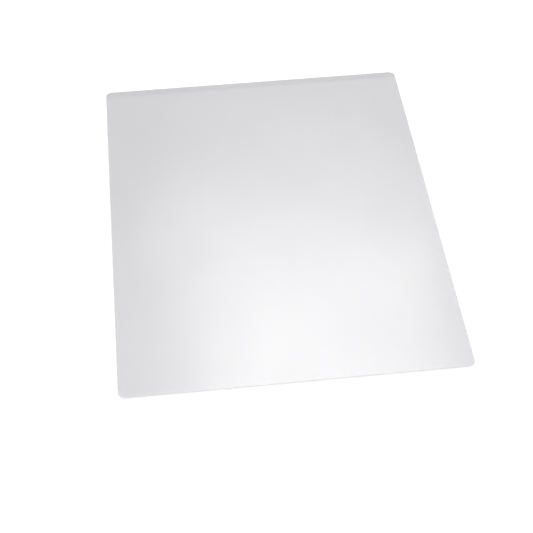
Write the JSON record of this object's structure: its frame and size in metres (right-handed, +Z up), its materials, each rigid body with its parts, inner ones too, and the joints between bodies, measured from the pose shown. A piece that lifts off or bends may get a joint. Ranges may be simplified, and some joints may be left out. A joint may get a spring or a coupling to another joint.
{
  "type": "laminating pouch",
  "caption": "Thin clear-frosted film pouch for laminating a sheet: a lower and an upper leaf heat-sealed along one short edge, with rounded corners.",
  "frame": {"origin": "middle of the underside, on the surface that the pouch lies on", "axes": "+X along the sealed short edge, +Y from the open mouth to the sealed edge, +Z up out of the upper leaf"},
  "size_m": [0.2286, 0.2922, 0.0013],
  "materials": {
    "lower_film": "glossy polyester outside, hazy adhesive inside",
    "upper_film": "glossy polyester outside, hazy adhesive inside"
  },
  "bodies": {
    "root": {"lower_leaf": "lower_film", "upper_leaf": "upper_film"}
  },
  "joints": []
}
